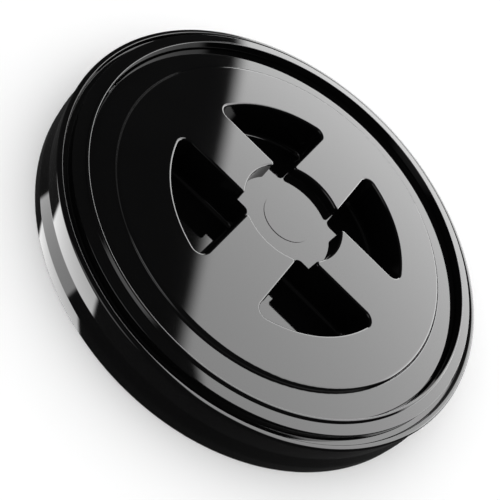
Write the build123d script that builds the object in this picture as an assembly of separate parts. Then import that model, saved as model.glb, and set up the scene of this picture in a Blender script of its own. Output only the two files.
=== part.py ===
from build123d import *
import math
import os

# Two-piece screw-in lid for a 12-inch pail: an adapter ring that snaps on the pail's rim, and a
# spin lid that screws into the ring. Millimetres, +Z up, skirt foot at Z = 0, screw axis at X = Y = 0.
# The four spokes of the spin lid lie along X and Y.

# --- adapter ring, outside --------------------------------------------------------------------
FOOT_R = 166.0            # skirt at its foot
BAND_LOW = (165.3, 8.5)   # top of the foot band (radius, height)
BAND_MID = (162.7, 17.8)  # top of the sloped band
RIM_R = 162.3             # skirt just under the lip
LIP_TOP = 33.2            # top of the outer lip
LIP_FLAT_R = 158.8        # inner edge of the lip's flat
CHANNEL_Z = 29.6          # floor of the channel behind the lip
CHANNEL_IN_R = 154.9      # inner foot of the channel
CHANNEL_OUT_R = 158.5     # outer foot of the channel
SHOULDER_R = 154.4        # outer edge of the flat over the pail's rim
SHOULDER_Z = 36.1         # that flat's height
BEAD_OUT_R = 146.4        # stacking bead, outer edge
BEAD_TOP = 38.1           # stacking bead, top
BEAD_FOOT_R = 147.4       # stacking bead, outer foot
BORE_R = 145.1            # bore that the lid's flange drops into
LIP_FILLET = 1.7
BAND_FILLET = 2.0
EDGE_FILLET = 0.6
INNER_FILLET = 0.5
BEAD_FILLET = 0.45

# --- adapter ring, inside ---------------------------------------------------------------------
RING_WALL = 2.4           # moulded wall thickness
RIM_SEAT_IN_R = 147.0     # inner side of the channel that takes the pail's rim
RIM_SEAT_OUT_R = 152.4    # its outer side
RIM_SEAT_Z = 33.8         # roof of that channel
LEDGE_Z = 27.1            # seat under the lid's gasket
THREAD_BORE_R = 137.0     # bore that carries the internal thread
THREAD_BORE_Z = 2.0       # bottom of that bore
SNAP_FOOT_Z = 20.6        # bottom of the snap wall
SNAP_BEAD_R = 151.3       # crest of the snap bead, which grips under the pail's rim
SNAP_LEAD = 0.4           # chamfer that leads the rim in
SNAP_LOW_Z = 22.2         # crest of the snap bead, from here
SNAP_HIGH_Z = 23.8        # to here
SNAP_END_Z = 25.6         # top of the slope above the crest
GUSSETS = 24              # between the snap wall and the skirt
GUSSET_T = 1.6
GUSSET_IN_R = 154.4
GUSSET_OUT_R = 160.8
GUSSET_FOOT_Z = 22.2
GUSSET_TOP_Z = 27.4

# --- spin lid ---------------------------------------------------------------------------------
DISC_TOP = 34.1           # top of the raised disc
DISC_R = 126.0            # raised disc, top edge
DISC_FOOT_R = 127.6       # foot of the step round the disc
DISC_EDGE_FILLET = 3.1    # rounded step, convex above
DISC_FOOT_FILLET = 1.9    # and concave below
FLANGE_TOP = 31.7
FLANGE_UNDER = 29.1
FLANGE_R = 144.4
PLATE_T = 2.4
DISC_IN_R = 124.9         # inside of the raised disc's wall
SKIRT_R = 134.2           # threaded skirt, outside
SKIRT_IN_R = 131.8
SKIRT_FOOT_Z = 2.6
GROOVE_IN_R = 137.9       # gasket groove under the flange
GROOVE_OUT_R = 143.7
GROOVE_TOP = 29.9

# --- finger wells and hub ---------------------------------------------------------------------
SPOKE_HALF = 22.2         # half the spoke's width
WELL_R = 91.2             # outer wall of the wells
WELL_FLOOR = 2.5
WELL_FOOT = 0.6           # underside of a well
WELL_WALL = 2.2
WELL_OUT_FILLET = 6.5
WELL_IN_FILLET = 4.5
WELL_FLOOR_FILLET = 3.9
SHELL_FLOOR_FILLET = 4.9  # the same corner from outside
HUB_R = 38.5
HUB_FLOOR = 25.8
HUB_WALL = 2.3
EAR_FILLET = 2.3          # where the hub's circle meets the sides of the wells
RIM_FILLET = 1.6          # top edge of the wells and hub
GATE_R = 19.6             # low round pad in the middle of the hub
GATE_TOP = 26.2
GATE_SINK = 0.5           # how far the pad runs into the hub's floor
RIB_T = 1.8
RIB_FOOT = 22.6
RIB_TOP = 32.1            # just inside the top plate
RIB_SINK = 0.8            # how far a rib runs into a wall
OUTER_RIB_SPREAD = 18.0   # degrees between the ribs outside a well

# --- thread, double start, right hand ---------------------------------------------------------
PITCH = 6.0
STARTS = 2
LEAD = PITCH * STARTS
THREAD_LOW = 4.6          # centre of the ridge at its start
THREAD_RISE = 12.0        # one turn for each start
THREAD_H = 2.1
ROOT_HALF = 1.8
CREST_HALF = 0.9
ROOT_SINK = 0.4           # how far a ridge is sunk into its wall

# --- gaskets ----------------------------------------------------------------------------------
LID_GASKET = (138.3, 143.3, 27.4, 29.6)    # inner radius, outer radius, bottom, top
RIM_GASKET = (147.6, 151.9, 31.4, 33.5)
GASKET_FILLET = 0.7

# --- modelling --------------------------------------------------------------------------------
SAME_SPOT = 0.05          # two spots closer than this are one
OVERCUT = 1.0             # how far a cut runs past the surface that it opens


def spin(points):
    """Solid of revolution about Z from (radius, height) corners."""
    with BuildSketch(Plane.XZ) as section:
        with BuildLine():
            Polyline(*points, close=True)
        make_face()
    return revolve(section.sketch, Axis.Z)


def round_at(solid, spots, radius):
    """Fillet the circular edges of a turned solid that lie at the given (radius, height) spots."""
    found = []
    for r, z in spots:
        found += [
            e for e in solid.edges().filter_by(GeomType.CIRCLE)
            if abs(e.radius - r) < SAME_SPOT and abs(e.arc_center.Z - z) < SAME_SPOT
        ]
    return solid.fillet(radius, found)


def block(r_in, r_out, thick, low, high):
    """Upright radial plate along +X, from r_in to r_out and from low to high."""
    return Pos((r_in + r_out) / 2, 0, (low + high) / 2) * Box(r_out - r_in, thick, high - low)


def ridge(wall_r, outward, start_deg):
    """One start of the thread: a trapezium swept along its helix on a wall of radius wall_r."""
    sign = 1 if outward else -1
    path = Helix(pitch=LEAD, height=THREAD_RISE, radius=wall_r)
    with BuildSketch(Plane.XZ) as section:
        with BuildLine():
            Polyline(
                (wall_r - sign * ROOT_SINK, -ROOT_HALF),
                (wall_r + sign * THREAD_H, -CREST_HALF),
                (wall_r + sign * THREAD_H, CREST_HALF),
                (wall_r - sign * ROOT_SINK, ROOT_HALF),
                close=True,
            )
        make_face()
    body = sweep(section.sketch, path=path, is_frenet=True)
    return Pos(0, 0, THREAD_LOW) * Rot(0, 0, start_deg) * body


def thread(wall_r, outward, phase_deg):
    return [ridge(wall_r, outward, phase_deg + 360 / STARTS * k) for k in range(STARTS)]


def adapter_ring():
    channel_under = CHANNEL_Z - RING_WALL
    body = spin([
        (FOOT_R, 0), BAND_LOW, BAND_MID, (RIM_R, LIP_TOP), (LIP_FLAT_R, LIP_TOP),
        (CHANNEL_OUT_R, CHANNEL_Z), (CHANNEL_IN_R, CHANNEL_Z), (SHOULDER_R, SHOULDER_Z),
        (BEAD_FOOT_R, SHOULDER_Z), (BEAD_OUT_R, BEAD_TOP), (BORE_R, BEAD_TOP),
        (BORE_R, LEDGE_Z), (THREAD_BORE_R, LEDGE_Z), (THREAD_BORE_R, THREAD_BORE_Z),
        (THREAD_BORE_R + RING_WALL, THREAD_BORE_Z),
        (THREAD_BORE_R + RING_WALL, LEDGE_Z - RING_WALL),
        (RIM_SEAT_IN_R, LEDGE_Z - RING_WALL), (RIM_SEAT_IN_R, RIM_SEAT_Z),
        (RIM_SEAT_OUT_R, RIM_SEAT_Z), (RIM_SEAT_OUT_R, SNAP_END_Z),
        (SNAP_BEAD_R, SNAP_HIGH_Z), (SNAP_BEAD_R, SNAP_LOW_Z),
        (RIM_SEAT_OUT_R - SNAP_LEAD, SNAP_FOOT_Z), (CHANNEL_IN_R, SNAP_FOOT_Z),
        (CHANNEL_IN_R, channel_under),
        (RIM_R - RING_WALL, channel_under), (BAND_MID[0] - RING_WALL, BAND_MID[1]),
        (BAND_LOW[0] - RING_WALL, BAND_LOW[1]), (FOOT_R - RING_WALL, 0),
    ])
    body = round_at(body, [(RIM_R, LIP_TOP)], LIP_FILLET)
    body = round_at(body, [(LIP_FLAT_R, LIP_TOP), (SHOULDER_R, SHOULDER_Z)], EDGE_FILLET)
    body = round_at(body, [(BEAD_OUT_R, BEAD_TOP), (BORE_R, BEAD_TOP)], BEAD_FILLET)
    inner_corners = [(CHANNEL_IN_R, CHANNEL_Z), (BEAD_FOOT_R, SHOULDER_Z), (CHANNEL_OUT_R, CHANNEL_Z)]
    body = round_at(body, inner_corners, INNER_FILLET)
    body = round_at(body, [BAND_LOW, BAND_MID], BAND_FILLET)
    body = round_at(body, [(FOOT_R, 0), (FOOT_R - RING_WALL, 0)], EDGE_FILLET)
    gusset = block(GUSSET_IN_R, GUSSET_OUT_R, GUSSET_T, GUSSET_FOOT_Z, GUSSET_TOP_Z)
    gussets = [Rot(0, 0, 360 / GUSSETS * (k + 0.5)) * gusset for k in range(GUSSETS)]
    return body.fuse(*gussets, *thread(THREAD_BORE_R, False, 0))


def well_outline(grow):
    """Outline of one finger well in the +X +Y quarter, grown outwards by grow."""
    side = SPOKE_HALF - grow
    arc_r = WELL_R + grow
    with BuildSketch() as outline:
        Circle(arc_r)
        with Locations((side, side)):
            Rectangle(2 * arc_r, 2 * arc_r, align=(Align.MIN, Align.MIN), mode=Mode.INTERSECT)
        corners = outline.vertices()
        inner = corners.sort_by(lambda v: v.X + v.Y)[0]
        outer = [v for v in corners if v is not inner]
        fillet(outer, WELL_OUT_FILLET + grow)
        inner = outline.vertices().sort_by(lambda v: v.X + v.Y)[0]
        fillet(inner, WELL_IN_FILLET + grow)
    return outline.sketch


def around(shape):
    return [Rot(0, 0, 90 * k) * shape for k in range(4)]


def spin_lid():
    body = spin([
        (0, DISC_TOP), (DISC_R, DISC_TOP), (DISC_FOOT_R, FLANGE_TOP),
        (FLANGE_R, FLANGE_TOP), (FLANGE_R, FLANGE_UNDER),
        (GROOVE_OUT_R, FLANGE_UNDER), (GROOVE_OUT_R, GROOVE_TOP), (GROOVE_IN_R, GROOVE_TOP),
        (GROOVE_IN_R, FLANGE_UNDER), (SKIRT_R, FLANGE_UNDER), (SKIRT_R, SKIRT_FOOT_Z),
        (SKIRT_IN_R, SKIRT_FOOT_Z), (SKIRT_IN_R, FLANGE_UNDER), (DISC_IN_R, FLANGE_UNDER),
        (DISC_IN_R, DISC_TOP - PLATE_T), (0, DISC_TOP - PLATE_T),
    ])
    body = round_at(body, [(DISC_R, DISC_TOP)], DISC_EDGE_FILLET)
    body = round_at(body, [(DISC_FOOT_R, FLANGE_TOP)], DISC_FOOT_FILLET)
    body = round_at(body, [(FLANGE_R, FLANGE_TOP), (SKIRT_R, SKIRT_FOOT_Z)], EDGE_FILLET)

    shell = extrude(well_outline(WELL_WALL), DISC_TOP - WELL_FOOT)
    shell = shell.fillet(SHELL_FLOOR_FILLET, shell.faces().sort_by(Axis.Z)[0].edges())
    shell = Pos(0, 0, WELL_FOOT) * shell
    hub_shell = Pos(0, 0, HUB_FLOOR - HUB_WALL) * extrude(
        Circle(HUB_R + HUB_WALL), DISC_TOP - HUB_FLOOR + HUB_WALL)

    spoke_rib = block(HUB_R, DISC_IN_R + RIB_SINK, RIB_T, RIB_FOOT, RIB_TOP)
    outer_rib = block(WELL_R + WELL_WALL - RIB_SINK, DISC_IN_R + RIB_SINK, RIB_T, RIB_FOOT, RIB_TOP)
    outer_ribs = [Rot(0, 0, 45 + OUTER_RIB_SPREAD * k) * outer_rib for k in (-1, 0, 1)]
    quarter = [shell, spoke_rib, *outer_ribs]
    body = body.fuse(hub_shell, *[piece for one in quarter for piece in around(one)])

    void = extrude(well_outline(0), DISC_TOP - WELL_FLOOR + OVERCUT)
    void = void.fillet(WELL_FLOOR_FILLET, void.faces().sort_by(Axis.Z)[0].edges())
    void = Pos(0, 0, WELL_FLOOR) * void
    with BuildSketch() as top_outline:
        Circle(HUB_R)
        add([face for well in around(well_outline(0)) for face in well.faces()])
        ears = [v for v in top_outline.vertices() if abs(math.hypot(v.X, v.Y) - HUB_R) < SAME_SPOT]
        fillet(ears, EAR_FILLET)
    hub_void = Pos(0, 0, HUB_FLOOR) * extrude(top_outline.sketch, DISC_TOP - HUB_FLOOR + OVERCUT)
    body = body.cut(hub_void, *around(void))
    rim = [
        e for e in body.edges()
        if e.bounding_box().min.Z > DISC_TOP - SAME_SPOT and e.bounding_box().max.X < WELL_R + SAME_SPOT
    ]
    body = body.fillet(RIM_FILLET, rim)
    gate = Pos(0, 0, HUB_FLOOR - GATE_SINK) * extrude(Circle(GATE_R), GATE_TOP - HUB_FLOOR + GATE_SINK)
    gate = gate.cut(*around(void))
    return body.fuse(gate, *thread(SKIRT_R, True, 360 / STARTS / 2))


def gasket(inner_r, outer_r, low, high):
    body = spin([(inner_r, low), (outer_r, low), (outer_r, high), (inner_r, high)])
    return body.fillet(GASKET_FILLET, body.edges().filter_by(GeomType.CIRCLE))


os.makedirs("parts", exist_ok=True)
PARTS = {
    "adapter_ring": adapter_ring(),
    "rim_gasket": gasket(*RIM_GASKET),
    "lid_gasket": gasket(*LID_GASKET),
    "spin_lid": spin_lid(),
}
for name, shape in PARTS.items():
    solids = shape.solids()
    print(name, "solids", len(solids), "volume", round(sum(s.volume for s in solids)), "mm3")
    export_step(shape, "parts/" + name + ".step")
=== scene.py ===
import math

import bmesh
import bpy
from mathutils import Matrix, Vector


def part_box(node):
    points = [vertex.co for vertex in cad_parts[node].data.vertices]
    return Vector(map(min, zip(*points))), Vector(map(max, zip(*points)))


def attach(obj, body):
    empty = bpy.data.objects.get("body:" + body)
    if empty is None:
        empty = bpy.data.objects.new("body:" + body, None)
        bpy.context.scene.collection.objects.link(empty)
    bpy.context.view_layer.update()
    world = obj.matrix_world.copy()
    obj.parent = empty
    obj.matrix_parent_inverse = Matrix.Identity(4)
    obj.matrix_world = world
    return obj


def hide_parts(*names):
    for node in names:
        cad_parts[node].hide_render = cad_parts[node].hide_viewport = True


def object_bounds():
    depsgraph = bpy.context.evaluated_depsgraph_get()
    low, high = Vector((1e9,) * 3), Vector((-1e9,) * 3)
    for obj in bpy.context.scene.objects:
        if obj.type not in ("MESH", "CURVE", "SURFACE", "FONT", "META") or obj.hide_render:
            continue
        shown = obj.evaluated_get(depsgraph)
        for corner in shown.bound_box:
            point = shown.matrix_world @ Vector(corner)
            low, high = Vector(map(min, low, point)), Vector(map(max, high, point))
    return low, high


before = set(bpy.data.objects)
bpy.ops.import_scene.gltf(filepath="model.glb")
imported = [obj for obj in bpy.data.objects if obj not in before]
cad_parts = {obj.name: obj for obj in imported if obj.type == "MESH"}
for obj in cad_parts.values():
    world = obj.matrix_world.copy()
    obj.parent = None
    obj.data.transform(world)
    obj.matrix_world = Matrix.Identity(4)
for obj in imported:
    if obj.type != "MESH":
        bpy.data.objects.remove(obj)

CAD_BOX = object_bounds()

# ---------------------------------------------------------------------------------------------
# Camera: 50 mm lens on a 36 mm sensor, looking down on the lid at its viewing angle and rolled.
# ---------------------------------------------------------------------------------------------
REFERENCE_R = 0.162        # metres, the radius that the distance is given in
REFERENCE_Z = 0.0331       # height of the plane that the camera is aimed at
DISTANCE = 2.93165         # in units of REFERENCE_R
TILT = 0.846481            # radians between the screw axis and the line of sight
ROLL = -0.803487
YAW = -0.063480
PITCH = 0.054336
SPOKE_TURN = math.radians(2.39)


def add_camera():
    eye = DISTANCE * Vector((0, -math.sin(TILT), math.cos(TILT)))
    forward = -eye.normalized()
    right = forward.cross(Vector((0, 0, 1))).normalized()
    up = right.cross(forward)
    axes = Matrix((right, up, -forward))
    aim = Matrix.Rotation(YAW, 3, "Y") @ Matrix.Rotation(PITCH, 3, "X")
    axes = aim @ Matrix.Rotation(ROLL, 3, "Z") @ axes
    turn = Matrix.Rotation(-SPOKE_TURN, 3, "Z")
    place = (turn @ axes.transposed()).to_4x4()
    place.translation = turn @ eye * REFERENCE_R + Vector((0, 0, REFERENCE_Z))
    data = bpy.data.cameras.new("camera")
    data.lens = 50
    data.sensor_width = 36
    data.clip_start = 0.01
    data.clip_end = 100
    camera = bpy.data.objects.new("camera", data)
    bpy.context.scene.collection.objects.link(camera)
    camera.matrix_world = place
    bpy.context.scene.camera = camera


# ---------------------------------------------------------------------------------------------
# Node helpers
# ---------------------------------------------------------------------------------------------
class Nodes:
    """Short names for building one node tree."""

    def __init__(self, tree):
        self.tree = tree
        tree.nodes.clear()

    def new(self, kind, inputs=None, **settings):
        node = self.tree.nodes.new(kind)
        for key, value in settings.items():
            setattr(node, key, value)
        for key, value in (inputs or {}).items():
            self.put(node.inputs[key], value)
        return node

    def put(self, socket, value):
        if isinstance(value, bpy.types.NodeSocket):
            self.tree.links.new(value, socket)
        else:
            socket.default_value = value

    def math(self, operation, a, b=0.0, c=0.0, clamp=False):
        inputs = {0: a, 1: b, 2: c}
        return self.new("ShaderNodeMath", inputs, operation=operation, use_clamp=clamp).outputs[0]

    def dot(self, vector, fixed):
        node = self.new("ShaderNodeVectorMath", {0: vector, 1: fixed}, operation="DOT_PRODUCT")
        return node.outputs["Value"]

    def step(self, value, low, high):
        """0 below low, 1 above high, smooth between."""
        return self.new(
            "ShaderNodeMapRange",
            {"Value": value, "From Min": low, "From Max": high},
            interpolation_type="SMOOTHSTEP",
        ).outputs["Result"]

    def noise(self, vector, scale, detail=3.0, roughness=0.5):
        return self.new(
            "ShaderNodeTexNoise",
            {"Vector": vector, "Scale": scale, "Detail": detail, "Roughness": roughness},
        ).outputs["Fac"]

    def mix(self, factor, a, b):
        """Linear mix of two numbers."""
        return self.new(
            "ShaderNodeMapRange", {"Value": factor, "To Min": a, "To Max": b},
        ).outputs["Result"]


def heading(azimuth, elevation):
    """Unit vector; azimuth 0 is +Y and 90 is +X, in degrees."""
    a, e = math.radians(azimuth), math.radians(elevation)
    return (math.sin(a) * math.cos(e), math.cos(a) * math.cos(e), math.sin(e))


def limit(first, second):
    """Normal of the plane through the eye and two headings: one straight edge of a panel."""
    return tuple(Vector(heading(*first)).cross(Vector(heading(*second))).normalized())


# ---------------------------------------------------------------------------------------------
# Studio: a pale floor, and soft panels that only the gloss sees
# ---------------------------------------------------------------------------------------------
BACKDROP = 1.12
ROOM_GLOSS = 0.045         # what the gloss sees between the panels
FLOOR_R = 12.0
FLOOR_DROP = 0.0002        # below the part's foot


def add_world():
    world = bpy.data.worlds.new("studio")
    bpy.context.scene.world = world
    world.use_nodes = True
    n = Nodes(world.node_tree)
    toward = n.new("ShaderNodeTexCoord").outputs["Generated"]
    height = n.dot(toward, (0, 0, 1))

    # main panel, high on the far side, with a slanted left edge; it ends at azimuth 70 on the right
    inside = n.step(n.dot(toward, (0.8425, 0.3521, -0.4077)), -0.1103, -0.0813)
    level = n.math("MULTIPLY_ADD", height, -3.94, 8.50)
    low_end = n.step(height, 0.02, 0.10)
    high_end = n.step(height, 0.915, 0.885)
    right_end = n.step(n.dot(toward, heading(-20, 0)), 0.0, 0.12)
    main = n.math("MULTIPLY", n.math("MULTIPLY", inside, level), right_end)
    main = n.math("MULTIPLY", n.math("MULTIPLY", main, low_end), high_end)

    # side panel, low on the left, seen in the skirt
    left = n.step(n.dot(toward, limit((-96, -30), (-92, -54))), -0.03, 0.01)
    right = n.step(n.dot(toward, limit((-143, -54), (-138, -30))), -0.03, 0.01)
    below = n.step(height, -0.30, -0.42)
    strength = n.mix(n.step(height, -0.50, -0.80), 3.0, 5.0)
    side = n.math("MULTIPLY", n.math("MULTIPLY", n.math("MULTIPLY", left, right), below), strength)

    # a dimmer low panel that models the form from behind
    back = n.step(n.dot(toward, heading(-150, 12)), 0.90, 0.97)
    side = n.math("MULTIPLY_ADD", back, 1.6, side)

    total = n.math("ADD", n.math("ADD", main, side), ROOM_GLOSS)
    gloss = n.new("ShaderNodeBackground", {"Color": (1, 1, 1, 1), "Strength": total})
    plain = n.new("ShaderNodeBackground", {"Color": (1, 1, 1, 1), "Strength": BACKDROP})
    path = n.new("ShaderNodeLightPath")
    glossy = path.outputs["Is Glossy Ray"]
    pick = n.new("ShaderNodeMixShader", {0: glossy, 1: plain.outputs[0], 2: gloss.outputs[0]})
    n.new("ShaderNodeOutputWorld", {"Surface": pick.outputs[0]})


def add_floor():
    low = CAD_BOX[0]
    bpy.ops.mesh.primitive_circle_add(
        vertices=96, radius=FLOOR_R, fill_type="NGON", location=(0, 0, low.z - FLOOR_DROP),
    )
    floor = bpy.context.object
    floor.name = "floor"
    material = bpy.data.materials.new("floor_paper")
    material.use_nodes = True
    n = Nodes(material.node_tree)
    place = n.new("ShaderNodeTexCoord").outputs["Object"]
    grain = n.noise(place, 3.0)
    shade = n.mix(grain, 0.93, 0.97)
    colour = n.new("ShaderNodeCombineColor", {"Red": shade, "Green": shade, "Blue": shade}).outputs[0]
    paper = n.new(
        "ShaderNodeBsdfPrincipled", {"Base Color": colour, "Roughness": 0.9, "Specular IOR Level": 0.1},
    )
    n.new("ShaderNodeOutputMaterial", {"Surface": paper.outputs[0]})
    floor.data.materials.append(material)
    floor.visible_glossy = False


# ---------------------------------------------------------------------------------------------
# Materials
# ---------------------------------------------------------------------------------------------
STEP_TOP = (0.12434, 0.0031)      # where the disc's rounded step starts (radius), and its fillet
STEP_FOOT = (0.12862, 0.0019)     # where it ends, and the fillet at its foot
STEP_TILT = 0.832                 # sine of the wall's slope between them
STEP_SPAN = (0.1222, 0.1300)      # radii between which the exact normal is used
STEP_Z = 0.0316                   # just below the flange's top


def step_normal(n, place, normal):
    """The rounded step is a surface of revolution, so its normal follows from the radius alone."""
    flat = n.new("ShaderNodeVectorMath", {0: place, 1: (1, 1, 0)}, operation="MULTIPLY").outputs[0]
    radius = n.new("ShaderNodeVectorMath", {0: flat}, operation="LENGTH").outputs["Value"]
    outward = n.new("ShaderNodeVectorMath", {0: flat}, operation="NORMALIZE").outputs[0]
    convex = n.math("DIVIDE", n.math("SUBTRACT", radius, STEP_TOP[0]), STEP_TOP[1])
    concave = n.math("DIVIDE", n.math("SUBTRACT", STEP_FOOT[0], radius), STEP_FOOT[1])
    sine = n.math("MINIMUM", n.math("MINIMUM", convex, concave), STEP_TILT)
    sine = n.math("MAXIMUM", sine, 0.0)
    rise = n.math("SQRT", n.math("MULTIPLY_ADD", n.math("MULTIPLY", sine, sine), -1.0, 1.0))
    tilted = n.new("ShaderNodeVectorMath", {0: outward, "Scale": sine}, operation="SCALE").outputs[0]
    up = n.new("ShaderNodeCombineXYZ", {"Z": rise}).outputs[0]
    local = n.new("ShaderNodeVectorMath", {0: tilted, 1: up}, operation="ADD").outputs[0]
    world = n.new(
        "ShaderNodeVectorTransform", {0: local},
        vector_type="NORMAL", convert_from="OBJECT", convert_to="WORLD",
    ).outputs[0]
    height = n.new("ShaderNodeSeparateXYZ", {0: place}).outputs["Z"]
    inner, outer = STEP_SPAN
    on_step = n.math("MULTIPLY", n.math("GREATER_THAN", radius, inner), n.math("LESS_THAN", radius, outer))
    on_step = n.math("MULTIPLY", on_step, n.math("GREATER_THAN", height, STEP_Z))
    return n.new("ShaderNodeMix", {0: on_step, 4: normal, 5: world}, data_type="VECTOR").outputs[1]


def gloss_plastic(name, seed, stepped=False):
    """Glossy black moulded plastic: fine waviness, hairline scuffs, rubbed edges, a little dust."""
    material = bpy.data.materials.new(name)
    material.use_nodes = True
    n = Nodes(material.node_tree)
    place = n.new("ShaderNodeTexCoord").outputs["Object"]
    shift = (seed, seed * 0.7, 0)
    shifted = n.new("ShaderNodeVectorMath", {0: place, 1: shift}, operation="ADD").outputs[0]
    surface = n.new("ShaderNodeNewGeometry")

    # rubbed edges
    rounded = n.new("ShaderNodeBevel", {"Radius": 0.0007}, samples=6).outputs[0]
    edges = n.step(n.dot(rounded, surface.outputs["Normal"]), 0.995, 0.90)
    patches = n.step(n.noise(shifted, 60.0, 4.0, 0.6), 0.42, 0.68)
    rubbed = n.math("MULTIPLY", edges, patches)

    # hairline scuffs, in two directions
    scuffs = None
    for angle, stretch in ((0.5, 26.0), (-0.9, 34.0)):
        turned = n.new(
            "ShaderNodeMapping",
            {"Vector": shifted, "Rotation": (0, 0, angle), "Scale": (stretch, 2200.0, 2200.0)},
        ).outputs[0]
        line = n.step(n.noise(turned, 1.0, 2.0, 0.5), 0.73, 0.78)
        scuffs = line if scuffs is None else n.math("MAXIMUM", scuffs, line)
    where = n.step(n.noise(shifted, 14.0), 0.48, 0.66)
    scuffs = n.math("MULTIPLY", scuffs, where)

    cloud = n.noise(shifted, 22.0, 4.0, 0.55)
    rough = n.mix(cloud, 0.030, 0.060)
    rough = n.math("MULTIPLY_ADD", scuffs, 0.10, rough)
    rough = n.math("MULTIPLY_ADD", rubbed, 0.16, rough, clamp=True)

    grey = n.math("MULTIPLY_ADD", rubbed, 0.012, n.mix(cloud, 0.0010, 0.0020))
    blue = n.math("MULTIPLY", grey, 1.05)
    colour = n.new("ShaderNodeCombineColor", {"Red": grey, "Green": grey, "Blue": blue})

    waves = n.noise(shifted, 45.0, 2.0, 0.4)
    height = n.math("MULTIPLY_ADD", scuffs, -0.02, waves)
    normal = surface.outputs["Normal"]
    if stepped:
        normal = step_normal(n, place, normal)
    bump = n.new(
        "ShaderNodeBump", {"Strength": 0.02, "Distance": 0.0002, "Height": height, "Normal": normal},
    )
    plastic = n.new(
        "ShaderNodeBsdfPrincipled",
        {"Base Color": colour.outputs[0], "Roughness": rough, "IOR": 1.5, "Normal": bump.outputs[0]},
    )
    n.new("ShaderNodeOutputMaterial", {"Surface": plastic.outputs[0]})
    return material


def rubber(name):
    """Matt black moulded rubber with a fine grain and pale bloom."""
    material = bpy.data.materials.new(name)
    material.use_nodes = True
    n = Nodes(material.node_tree)
    place = n.new("ShaderNodeTexCoord").outputs["Object"]
    grain = n.noise(place, 900.0, 4.0, 0.6)
    bloom = n.step(n.noise(place, 35.0, 4.0, 0.6), 0.40, 0.75)
    surface = n.new("ShaderNodeNewGeometry")
    rounded = n.new("ShaderNodeBevel", {"Radius": 0.0004}, samples=6).outputs[0]
    edges = n.step(n.dot(rounded, surface.outputs["Normal"]), 0.995, 0.90)
    grey = n.math("MULTIPLY_ADD", edges, 0.02, n.mix(bloom, 0.022, 0.045))
    colour = n.new("ShaderNodeCombineColor", {"Red": grey, "Green": grey, "Blue": grey})
    rough = n.mix(grain, 0.55, 0.80)
    bump = n.new("ShaderNodeBump", {"Strength": 0.35, "Distance": 0.0002, "Height": grain})
    shader = n.new(
        "ShaderNodeBsdfPrincipled",
        {"Base Color": colour.outputs[0], "Roughness": rough, "Normal": bump.outputs[0]},
    )
    n.new("ShaderNodeOutputMaterial", {"Surface": shader.outputs[0]})
    return material


def paint(node, material):
    """Puts the material in every slot of a CAD node."""
    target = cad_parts[node]
    if not target.material_slots:
        target.data.materials.append(material)
    for one in target.material_slots:
        one.material = material


# ---------------------------------------------------------------------------------------------
# Gaskets: moulded rings with sealing lips, in place of the plain CAD rings
# ---------------------------------------------------------------------------------------------
GASKET_STEPS = 360


def turned_ring(name, profile):
    """Ring swept from a closed list of (radius, height) points, in metres."""
    mesh = bmesh.new()
    rings = []
    for k in range(GASKET_STEPS):
        a = math.tau * k / GASKET_STEPS
        rings.append([mesh.verts.new((r * math.cos(a), r * math.sin(a), z)) for r, z in profile])
    for k in range(GASKET_STEPS):
        here, there = rings[k], rings[(k + 1) % GASKET_STEPS]
        for i in range(len(profile)):
            j = (i + 1) % len(profile)
            mesh.faces.new((here[i], there[i], there[j], here[j]))
    bmesh.ops.recalc_face_normals(mesh, faces=mesh.faces)
    data = bpy.data.meshes.new(name)
    mesh.to_mesh(data)
    mesh.free()
    for face in data.polygons:
        face.use_smooth = True
    ring = bpy.data.objects.new(name, data)
    bpy.context.scene.collection.objects.link(ring)
    return ring


def gasket_profile(node, lips, lip_depth, faces_down):
    """Rounded section with small lips on the side that seals, from the CAD node's own box."""
    low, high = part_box(node)
    outer = high.x
    inner = min(math.hypot(v.co.x, v.co.y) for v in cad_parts[node].data.vertices)
    bottom, top = low.z, high.z
    corner = 0.0006
    count = 64
    lipped = []
    for k in range(count + 1):
        t = k / count
        r = inner + corner + (outer - inner - 2 * corner) * t
        wave = 0.5 - 0.5 * math.cos(math.tau * lips * t)
        lipped.append((r, lip_depth * (1 - wave)))
    plain_z, sealing_z = (top, bottom) if faces_down else (bottom, top)
    inward = 1 if faces_down else -1
    sealing = [(r, sealing_z + inward * d) for r, d in lipped]

    def arc(centre_r, centre_z, start, end):
        return [
            (centre_r + corner * math.cos(math.radians(start + (end - start) * i / 6)),
             centre_z + corner * math.sin(math.radians(start + (end - start) * i / 6)))
            for i in range(7)
        ]

    if faces_down:
        far = arc(outer - corner, top - corner, 0, 90) + arc(inner + corner, top - corner, 90, 180)
        near = arc(inner + corner, bottom + lip_depth + corner, 180, 270)
        back = arc(outer - corner, bottom + lip_depth + corner, 270, 360)
        return near + sealing[1:-1] + back + far
    far = arc(inner + corner, bottom + corner, 180, 270) + arc(outer - corner, bottom + corner, 270, 360)
    near = arc(outer - corner, top - lip_depth - corner, 0, 90)
    back = arc(inner + corner, top - lip_depth - corner, 90, 180)
    return near + sealing[::-1][1:-1] + back + far


def add_gasket(node, name, body, lips, faces_down, material):
    ring = turned_ring(name, gasket_profile(node, lips, 0.00045, faces_down))
    ring.data.materials.append(material)
    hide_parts(node)
    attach(ring, body)


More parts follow.
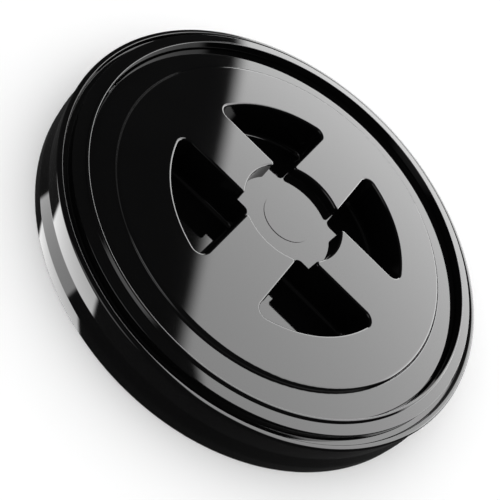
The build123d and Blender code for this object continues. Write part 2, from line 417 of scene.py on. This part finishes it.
# ---------------------------------------------------------------------------------------------
# Adapter ring: the CAD section again, finely turned so that reflections run clean round it.
# Heights are from the skirt's foot; corners are (radius, height, fillet), all in millimetres.
# ---------------------------------------------------------------------------------------------
RING_CORNERS = [
    (166.0, 0, 0.6), (165.3, 8.5, 2.0), (162.7, 17.8, 2.0), (162.3, 33.2, 1.7), (158.8, 33.2, 0.6),
    (158.5, 29.6, 0.5), (154.9, 29.6, 0.5), (154.4, 36.1, 0.6), (147.4, 36.1, 0.5), (146.4, 38.1, 0.45),
    (145.1, 38.1, 0.45), (145.1, 27.1, 0), (137.0, 27.1, 0), (137.0, 2.0, 0), (139.4, 2.0, 0),
    (139.4, 24.7, 0), (147.0, 24.7, 0), (147.0, 33.8, 0), (152.4, 33.8, 0), (152.4, 25.6, 0),
    (151.3, 23.8, 0), (151.3, 22.2, 0), (152.0, 20.6, 0), (154.9, 20.6, 0), (154.9, 27.2, 0),
    (159.9, 27.2, 0), (160.3, 17.8, 0), (162.9, 8.5, 0), (163.6, 0, 0.6),
]
RING_STEPS = 720
ARC_STEPS = 8
GUSSET_COUNT = 24
GUSSET = (154.4, 160.0, 0.8, 22.2, 27.4)      # inner, outer, half thickness, bottom, top
THREAD = (137.0, 4.6, 12.0, 12.0)             # wall radius, start height, rise, lead
THREAD_SECTION = ((0.4, -1.8), (-2.1, -0.9), (-2.1, 0.9), (0.4, 1.8))
SMOOTH_ANGLE = math.radians(28)


def rounded(corners):
    """Closed outline of (radius, height) points with an arc at each corner that has a fillet."""
    outline = []
    for i, (r, z, fillet) in enumerate(corners):
        here = Vector((r, z))
        if not fillet:
            outline.append(here)
            continue
        back = (Vector(corners[i - 1][:2]) - here).normalized()
        on = (Vector(corners[(i + 1) % len(corners)][:2]) - here).normalized()
        half = back.angle(on) / 2
        centre = here + (back + on).normalized() * fillet / math.sin(half)
        start = here + back * fillet / math.tan(half) - centre
        end = here + on * fillet / math.tan(half) - centre
        outline += [centre + fillet * start.slerp(end, k / ARC_STEPS) for k in range(ARC_STEPS + 1)]
    return outline


def turned_ring_shell():
    """The ring's turned section, with its gussets and its two thread ridges as closed shells."""
    mesh = bmesh.new()
    outline = [p / 1000 for p in rounded(RING_CORNERS)]
    loops = []
    for k in range(RING_STEPS):
        a = math.tau * k / RING_STEPS
        loops.append([mesh.verts.new((p.x * math.cos(a), p.x * math.sin(a), p.y)) for p in outline])
    for here, there in zip(loops, loops[1:] + loops[:1]):
        for i in range(len(outline)):
            j = (i + 1) % len(outline)
            mesh.faces.new((here[i], there[i], there[j], here[j]))

    inner, outer, half, low, high = (v / 1000 for v in GUSSET)
    for k in range(GUSSET_COUNT):
        turn = Matrix.Rotation(math.tau * (k + 0.5) / GUSSET_COUNT, 4, "Z")
        size = Matrix.Diagonal((outer - inner, 2 * half, high - low, 1))
        place = turn @ Matrix.Translation(((inner + outer) / 2, 0, (low + high) / 2)) @ size
        bmesh.ops.create_cube(mesh, size=1, matrix=place)

    wall, foot, rise, lead = (v / 1000 for v in THREAD)
    turns = int(RING_STEPS * rise / lead)
    for start in (0, math.pi):
        strip = []
        for k in range(turns + 1):
            a = start + math.tau * k / RING_STEPS
            z = foot + lead * k / RING_STEPS
            spots = [(wall + r / 1000, z + h / 1000) for r, h in THREAD_SECTION]
            strip.append([mesh.verts.new((r * math.cos(a), r * math.sin(a), top)) for r, top in spots])
        for here, there in zip(strip, strip[1:]):
            for i in range(4):
                j = (i + 1) % 4
                mesh.faces.new((here[i], here[j], there[j], there[i]))
        mesh.faces.new(strip[0])
        mesh.faces.new(strip[-1][::-1])
    bmesh.ops.recalc_face_normals(mesh, faces=mesh.faces)
    data = bpy.data.meshes.new("ring_shell")
    mesh.to_mesh(data)
    mesh.free()
    data.shade_smooth()
    data.set_sharp_from_angle(angle=SMOOTH_ANGLE)
    ring = bpy.data.objects.new("ring_shell", data)
    bpy.context.scene.collection.objects.link(ring)
    ring.data.materials.append(gloss_plastic("ring_gloss", 0.31))
    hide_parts("adapter_ring")
    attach(ring, "ring")


# ---------------------------------------------------------------------------------------------
add_camera()
add_world()
add_floor()
turned_ring_shell()
paint("spin_lid", gloss_plastic("lid_gloss", 0.77, stepped=True))
seal = rubber("seal_rubber_look")
add_gasket("rim_gasket", "rim_seal", "ring", 3, True, seal)
add_gasket("lid_gasket", "lid_seal", "seal", 2, True, seal)
bpy.context.scene.view_settings.view_transform = "Standard"
